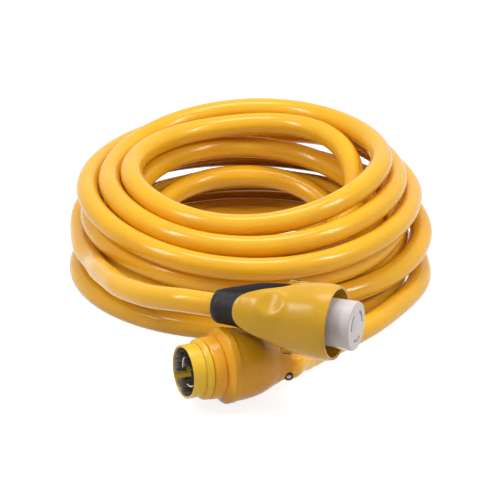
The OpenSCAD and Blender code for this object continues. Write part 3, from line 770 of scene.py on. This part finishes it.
class CORD_OT_fixings(Piece, bpy.types.Operator):
    """Make the jaws' pins and springs, and the screws of the connector and the plug"""

    bl_idname = "shore_cord.fixings"
    bl_label = "Pins, springs and screws"

    def execute(self, context):
        steel = metal("zinc_steel", (0.58, 0.57, 0.55), 0.32)
        dark = metal("blackened_pin", (0.10, 0.095, 0.09), 0.36)
        screws = screw_ring_tree()
        rings = [
            ("face_screw_set", CONNECTOR @ Matrix.Translation((109.7, 0, 0)), 3, 31, 90, 1.9, 1.4, 1.3, 11.5,
             "face_screws"),
            ("terminal_screw_set", CONNECTOR @ Matrix.Translation((70.8, 0, 0)), 4, 18, 45, 3.2, 2.4, 1.7, 8,
             "terminal_screws"),
            ("block_screw_set", PLUG @ Matrix.Translation((-9.2, 0, 0)), 4, 19, 45, 3.2, 2.4, 1.7, 8,
             "block_screws"),
        ]
        for name, matrix, count, radius, angle, head, height, shank, deep, stands in rings:
            if name.startswith("face"):
                matrix = matrix @ Matrix.Rotation(math.pi, 4, "Z")
            values = {"Count": count, "Ring radius": float(radius), "First angle": float(angle),
                      "Head radius": head, "Head height": height, "Shank radius": shank,
                      "Shank length": float(deep), "Finish": steel}
            finished(grown(name, screws, values, matrix), steel, replaces=[stands])
        spring = spring_tree()
        for name, up in (("upper", 1), ("lower", -1)):
            flip = Matrix.Rotation(0 if up > 0 else math.pi, 4, "X")
            matrix = CONNECTOR @ Matrix.Translation((PIVOT_X, 0, up * 33.6)) @ flip
            piece = grown(name + "_spring", spring, {"Finish": steel}, matrix)
            finished(piece, steel, replaces=["jaw_springs"])
        pins = []
        for up in (1, -1):
            turn = ALONG_Z if up > 0 else ALONG_Z @ Matrix.Rotation(math.pi, 4, "Y")
            stand = Matrix.Translation((PIVOT_X, 0, 0)) @ turn
            profile = rounded([(24.6, 0), (24.6, 3), (41.0, 3), (41.0, 5), (42.4, 5), (42.4, 0)],
                              [0, 0.4, 0, 0.3, 1.1, 0])
            pins.append(lathe("pin", profile, CONNECTOR @ stand, steps=48))
        finished(joined("jaw_pins", pins), dark, replaces=["pivot_pins"])
        return {"FINISHED"}


# ---------------------------------------------------------------- the plug
BODY = [(-104, 19), (-92, 19.5), (-79, 20.2), (-66, 21.8), (-54, 25.8), (-47, 29.6), (-40, 33.2),
        (-29, 37.2), (-16, 40.2), (-7, 41.6), (8, 42)]
# The boot's inner end: how far back and how thick, then the knee and the outer end
BOOT_ROOT = [(-46, 19), (-58, 19.6), (-70, 18.6), (-BODY_LEN, 17.4)]
KNEE_R = 17
SLEEVE_R, SLEEVE_LEN = 15.9, 14
SKIN_VOXEL = 0.8


class CORD_OT_plug_body(Piece, bpy.types.Operator):
    """Make the plug's body with its wide flange"""

    bl_idname = "shore_cord.plug_body"
    bl_label = "Plug body"

    def execute(self, context):
        looks = context.scene.plug_looks
        mat = moulded("body_vinyl", looks.body_colour, rough=0.25, mottle=0.05, ripple=0.15)
        start, end = BODY[0][0], BODY[-1][0]
        along = [(float(x), float(follow(BODY)(x))) for x in np.linspace(start, end, 90)]
        rear = lathe("rear", [(start, 0)] + along + [(end, 0)], PLUG_BODY)
        # The body ends on a slant, and the boot comes out from under it
        slant = PLUG_BODY @ Matrix.Translation(SLANT_AT) @ Matrix.Rotation(math.radians(SLANT), 4, "Y")
        ahead = slab("ahead", [(0, -60), (40, -60), (40, 60), (0, 60)], -60, 60, PLUG)
        under = slab("under", [(-80, -60), (0, -60), (0, 60), (-80, 60)], -60, 120, slant)
        rear = softened(cut(rear, [ahead, under]), 0.8)
        disc = rounded([(-4.6, 30), (-4.6, 43.5), (4.7, 43.5), (11, 34.6), (11, 26), (0, 26)],
                       [0, 1.8, 2.2, 1.2, 0.5, 0])
        flange = lathe("flange", disc, PLUG, closed=True)
        finished(joined("plug_housing", [rear, flange]), mat, replaces=["plug_body"])
        return {"FINISHED"}


def swept(name, balls):
    """One smooth skin round a row of (centre, radius) balls and what lies between them."""
    parts = []
    for (p, r), (q, t) in zip(balls, balls[1:]):
        bm = bmesh.new()
        for at, size in ((p, r), (q, t)):
            bmesh.ops.create_icosphere(bm, subdivisions=4, radius=size, matrix=Matrix.Translation(at))
        hull = bmesh.ops.convex_hull(bm, input=bm.verts)
        inner = {g for g in hull["geom_interior"] if isinstance(g, bmesh.types.BMVert)}
        bmesh.ops.delete(bm, geom=list(inner), context="VERTS")
        mesh = bpy.data.meshes.new(name)
        bm.to_mesh(mesh)
        bm.free()
        parts.append(bpy.data.objects.new(name, mesh))
    obj = joined(name, parts)
    obj.data.transform(Matrix.Scale(MM, 4))
    skin = obj.modifiers.new("skin", "REMESH")
    skin.mode, skin.voxel_size = "VOXEL", SKIN_VOXEL * MM
    even = obj.modifiers.new("even", "SMOOTH")
    even.factor, even.iterations = 0.5, 14
    return settled(obj)


class CORD_OT_boot(Piece, bpy.types.Operator):
    """Make the strain relief that takes the cord into the plug"""

    bl_idname = "shore_cord.boot"
    bl_label = "Plug boot"

    def execute(self, context):
        looks = context.scene.plug_looks
        # Same vinyl as the body, painted lighter: painted light for the lit boot beside the shaded body.
        mat = moulded("boot_vinyl_painted_light", looks.boot_painted_light_colour, rough=0.26, mottle=0.05, ripple=0.15)
        balls = [(PLUG_BODY @ Vector((x, 0, 0)) / MM, r) for x, r in BOOT_ROOT]
        near_end = BOOT_END - (SLEEVE_LEN + 0.5) * BOOT_DIR
        boot = swept("boot", balls + [(BOOT_KNEE, KNEE_R), (near_end, SLEEVE_R)])
        sleeve = [(-SLEEVE_LEN, 10), (-SLEEVE_LEN, SLEEVE_R), (0, 15.6), (0, 13.8), (-6, 13.8), (-6, 10)]
        profile = rounded(sleeve, [0, 0, 1.2, 0.6, 0, 0], closed=True)
        end = lathe("end", profile, facing(BOOT_END, BOOT_DIR), closed=True, steps=96)
        finished(joined("boot", [boot, end]), mat, replaces=["plug_boot"])
        return {"FINISHED"}


class CORD_OT_shroud(Piece, bpy.types.Operator):
    """Make the plug's shroud with its two rings, its metal shell and the contact blades"""

    bl_idname = "shore_cord.shroud"
    bl_label = "Shroud and blades"

    def execute(self, context):
        looks = context.scene.plug_looks
        r = looks.shroud_radius / MM
        lemon = moulded("shroud_plastic", looks.shroud_colour, rough=0.26, mottle=0.04, ripple=0.08)
        vinyl = moulded("ring_vinyl", looks.body_colour, rough=0.25, mottle=0.05, ripple=0.1)
        nickel = metal("dark_nickel", looks.shell_colour, 0.3, (10, 1, 1))
        bright = metal("bright_nickel", (0.62, 0.60, 0.57), 0.22, (8, 1, 1))
        black = moulded("black_plastic", (0.03, 0.03, 0.03), rough=0.45, mottle=0.2, scuffs=0.04)
        shroud = rounded([(11, r - 1.4), (11, r + 0.4), (34, r + 0.4), (34, r), (50.5, r), (50.5, r - 1.4)],
                         [0, 0, 0, 0, 0.7, 0.6], closed=True)
        finished(lathe("shroud", shroud, PLUG, closed=True), lemon, replaces=["plug_shroud"])
        rear = rounded([(11, r + 0.4), (11, 35.2), (13, 36.2), (24, 35.4), (26, 33.6), (26, r + 0.4)],
                       [0, 0.6, 1.4, 1.6, 1.0, 0], closed=True)
        finished(lathe("rear_band", rear, PLUG, closed=True), vinyl, replaces=["rear_ring"])
        front = rounded([(26.8, r + 0.4), (26.8, 34.2), (28, 35.2), (31.5, 34.4), (34, 32.2), (34, r + 0.4)],
                        [0, 0.5, 1.2, 1.4, 0.8, 0], closed=True)
        finished(lathe("front_band", front, PLUG, closed=True), lemon, replaces=["front_ring"])
        shell = lathe("shell", [(18, 28.1), (18, 29.0), (49.5, 29.0), (49.5, 28.1)], PLUG, closed=True)
        cut(shell, [arc_bar("slot", 30.5, 52, 28.5, 6, 205, 219, PLUG),
                    arc_bar("slot", 30.5, 35, 28.5, 6, 184, 206, PLUG)])
        finished(softened(shell, 0.2), nickel, replaces=["ground_shell"])
        blades = [arc_bar("blade", 11, 44, BLADE_RING, 1.6, a + 0.5, a + 49.5, PLUG) for a in SLOTS]
        finished(softened(joined("blades", blades), 0.35), bright, replaces=["contact_blades"])
        plate = lathe("plate", rounded([(11, 0), (11, 29), (18, 29), (18, 0)], [0, 0.3, 0.8, 0]), PLUG)
        finished(plate, black, replaces=["contact_plate"])
        return {"FINISHED"}


class CORD_OT_power_light(Piece, bpy.types.Operator):
    """Make the small power light at the back of the plug"""

    bl_idname = "shore_cord.power_light"
    bl_label = "Power light"

    def execute(self, context):
        dark = moulded("bezel_plastic", (0.035, 0.02, 0.012), rough=0.35, mottle=0.1, scuffs=0.03)
        cream = moulded("lens_plastic", (0.80, 0.74, 0.62), rough=0.15, gloss=0.6, mottle=0.03, scuffs=0.02)
        place = facing(PLUG_BODY @ LIGHT_AT / MM + LIGHT_OUT * LIGHT_DIR, LIGHT_DIR)
        ring = rounded([(0, 3.02), (0, 5.2), (3.2, 5.2), (3.2, 3.02)], [0, 0, 0.8, 0.4], closed=True)
        finished(lathe("light_ring", ring, place, closed=True, steps=48), dark, replaces=["light_bezel"])
        bulge = [(2.4 + 0.7 * math.sin(a), 3 * math.cos(a)) for a in np.linspace(0, 1.5, 8)]
        dome = [(0, 0), (0, 3)] + bulge + [(3.1, 0)]
        finished(lathe("light_window", dome, place, steps=48), cream, replaces=["light_lens"])
        return {"FINISHED"}


class CORD_OT_inner_parts(Piece, bpy.types.Operator):
    """Finish the parts inside the connector and the plug: wires, blocks and clamp"""

    bl_idname = "shore_cord.inner_parts"
    bl_label = "Inner parts"

    def execute(self, context):
        grey = moulded("grey_moulding", (0.20, 0.18, 0.17), rough=0.5, mottle=0.1)
        steel = metal("clamp_steel", (0.55, 0.54, 0.52), 0.34)
        for n in ("contact_carrier", "wire_block"):
            dressed(n, grey)
        dressed("cord_clamp", steel)
        for name, colour in (("black", (0.02, 0.02, 0.02)), ("red", (0.42, 0.03, 0.02)),
                             ("white", (0.75, 0.75, 0.72)), ("green", (0.03, 0.20, 0.05))):
            mat = moulded("wire_insulation_" + name, colour, rough=0.4, mottle=0.08)
            dressed("wire_" + name, mat)
            dressed("plug_wire_" + name, mat)
        return {"FINISHED"}


# ---------------------------------------------------------------- the stage
CAMERA_TARGET = (Vector((0, 0, 60)) + SHIFT) * MM
CAMERA_ELEVATION = 23
CAMERA_DISTANCE = 4.0
LENS, SENSOR, LENS_SHIFT = 234.7, 36, -0.045
FLOOR_HALF, FLOOR_GREY, FLOOR_GLOW = 30, 0.62, 0.86
SKY = 0.3
WHITE = (1, 1, 1, 1)


def lamp(name, at, to, size, watts):
    data = bpy.data.lights.new(name, "AREA")
    data.shape, data.size, data.size_y, data.energy = "RECTANGLE", size[0], size[1], watts
    obj = bpy.data.objects.new(name, data)
    obj.location = at
    obj.rotation_mode = "QUATERNION"
    obj.rotation_quaternion = (Vector(to) - Vector(at)).to_track_quat("-Z", "Y")
    bpy.context.scene.collection.objects.link(obj)


def seen_directly(tree):
    """A socket that is 1 for rays from the camera and for what mirrors and glass show of it."""
    path = tree.nodes.new("ShaderNodeLightPath")
    total = path.outputs["Is Camera Ray"]
    for other in ("Is Glossy Ray", "Is Transmission Ray"):
        add = node(tree, "ShaderNodeMath")
        add.operation = "MAXIMUM"
        tree.links.new(total, add.inputs[0])
        tree.links.new(path.outputs[other], add.inputs[1])
        total = add.outputs[0]
    return total


class CORD_OT_stage(Piece, bpy.types.Operator):
    """Set up the camera, the pale floor and the soft lights"""

    bl_idname = "shore_cord.stage"
    bl_label = "Stage"

    def execute(self, context):
        scene, looks = context.scene, context.scene.stage_looks
        cam = bpy.data.objects.new("camera", bpy.data.cameras.new("camera"))
        scene.collection.objects.link(cam)
        scene.camera = cam
        cam.data.sensor_width, cam.data.lens = SENSOR, LENS
        cam.data.shift_y = LENS_SHIFT
        cam.data.clip_end = 50
        e = math.radians(CAMERA_ELEVATION)
        back = Vector((0, -math.cos(e), math.sin(e)))
        cam.location = CAMERA_TARGET + CAMERA_DISTANCE * back
        cam.rotation_mode = "QUATERNION"
        cam.rotation_quaternion = (-back).to_track_quat("-Z", "Y")
        scene.view_settings.view_transform = "Standard"

        f = FLOOR_HALF
        floor = made("floor", [(-f, -f, 0), (f, -f, 0), (f, f, 0), (-f, f, 0)], [(0, 1, 2, 3)],
                     Matrix.Identity(4), closed=False)
        mat = bpy.data.materials.new("pale_floor")
        mat.use_nodes = True
        tree = mat.node_tree
        tree.nodes.clear()
        plain = node(tree, "ShaderNodeBsdfDiffuse", Color=(FLOOR_GREY, FLOOR_GREY, FLOOR_GREY, 1))
        faint = node(tree, "ShaderNodeBsdfDiffuse", Color=(looks.floor, looks.floor, looks.floor, 1))
        glow = node(tree, "ShaderNodeEmission", Color=WHITE, Strength=FLOOR_GLOW)
        both = node(tree, "ShaderNodeAddShader")
        tree.links.new(faint.outputs[0], both.inputs[0])
        tree.links.new(glow.outputs[0], both.inputs[1])
        chosen = node(tree, "ShaderNodeMixShader", Fac=seen_directly(tree))
        tree.links.new(plain.outputs[0], chosen.inputs[1])
        tree.links.new(both.outputs[0], chosen.inputs[2])
        out = tree.nodes.new("ShaderNodeOutputMaterial")
        tree.links.new(chosen.outputs[0], out.inputs["Surface"])
        floor.data.materials.append(mat)

        world = scene.world or bpy.data.worlds.new("world")
        scene.world = world
        world.use_nodes = True
        tree = world.node_tree
        tree.nodes.clear()
        soft = node(tree, "ShaderNodeBackground", Color=WHITE, Strength=SKY)
        white = node(tree, "ShaderNodeBackground", Color=WHITE, Strength=1.0)
        chosen = node(tree, "ShaderNodeMixShader", Fac=seen_directly(tree))
        tree.links.new(soft.outputs[0], chosen.inputs[1])
        tree.links.new(white.outputs[0], chosen.inputs[2])
        out = tree.nodes.new("ShaderNodeOutputWorld")
        tree.links.new(chosen.outputs[0], out.inputs["Surface"])

        middle = CAMERA_TARGET
        lamp("key", middle + Vector((0, 0.1, 1.9)), middle, (1.0, 0.7), looks.key)
        lamp("left", middle + Vector((-1.3, -0.7, 1.3)), middle, (0.3, 0.8), looks.side)
        lamp("right", middle + Vector((1.3, -0.6, 1.3)), middle, (0.3, 0.8), looks.side)
        return {"FINISHED"}


# ---------------------------------------------------------------- panel
SETTINGS = {"cord_looks": CordLooks, "connector_looks": ConnectorLooks, "plug_looks": PlugLooks,
            "stage_looks": StageLooks}
OPERATORS = (CORD_OT_stage, CORD_OT_cord, CORD_OT_jaws, CORD_OT_grip, CORD_OT_contact_face, CORD_OT_fixings,
             CORD_OT_plug_body, CORD_OT_boot, CORD_OT_shroud, CORD_OT_power_light, CORD_OT_inner_parts)


class CORD_PT_pieces(bpy.types.Panel):
    """Lists the pieces and their sizes and colours"""

    bl_idname = "CORD_PT_pieces"
    bl_label = "Shore power cord"
    bl_space_type = "VIEW_3D"
    bl_region_type = "UI"
    bl_category = "Cord"

    def draw(self, context):
        for name in SETTINGS:
            box = self.layout.box()
            looks = getattr(context.scene, name)
            for key in looks.bl_rna.properties.keys():
                if key not in ("rna_type", "name"):
                    box.prop(looks, key)
        for operator in OPERATORS:
            self.layout.operator(operator.bl_idname)


def register():
    for c in (*SETTINGS.values(), *OPERATORS, CORD_PT_pieces):
        bpy.utils.register_class(c)
    for name, c in SETTINGS.items():
        setattr(bpy.types.Scene, name, PointerProperty(type=c))


def unregister():
    for name in SETTINGS:
        delattr(bpy.types.Scene, name)
    for c in reversed((*SETTINGS.values(), *OPERATORS, CORD_PT_pieces)):
        bpy.utils.unregister_class(c)


def main():
    register()
    for operator in OPERATORS:
        group, name = operator.bl_idname.split(".")
        getattr(getattr(bpy.ops, group), name)()


if __name__ == "__main__":
    main()
